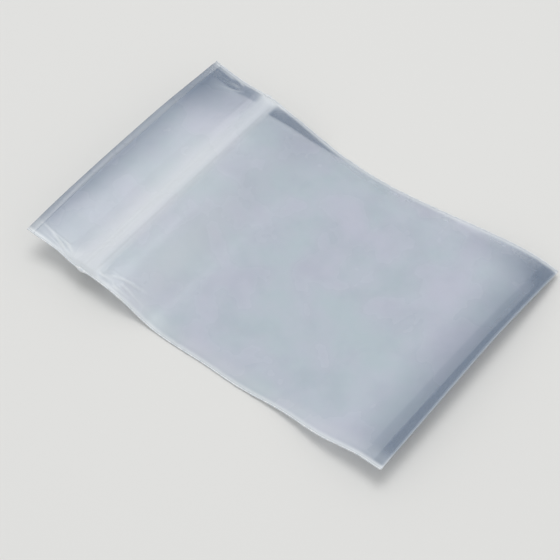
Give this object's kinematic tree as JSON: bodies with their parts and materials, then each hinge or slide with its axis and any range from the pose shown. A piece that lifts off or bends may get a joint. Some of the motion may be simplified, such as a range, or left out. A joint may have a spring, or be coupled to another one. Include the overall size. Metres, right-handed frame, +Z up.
{
  "type": "zipper bag",
  "caption": "Flat clear film bag, folded at the bottom and welded down both sides, with a press-to-close zip strip pair inside its stepped mouth, lying gently curled.",
  "frame": {"origin": "middle of the bag's outline, on the surface that it rests on", "axes": "+Y towards the mouth and its zip, +Z up through the bag, +X across it"},
  "size_m": [0.101, 0.1478, 0.0161],
  "materials": {
    "milky_film": "milky clear low-density polyethylene film, soft gloss",
    "zip_plastic": "thicker translucent white polyethylene, extruded"
  },
  "bodies": {
    "root": {"film_sleeve": "milky_film", "rib_strip": "zip_plastic", "groove_strip": "zip_plastic"}
  },
  "joints": []
}
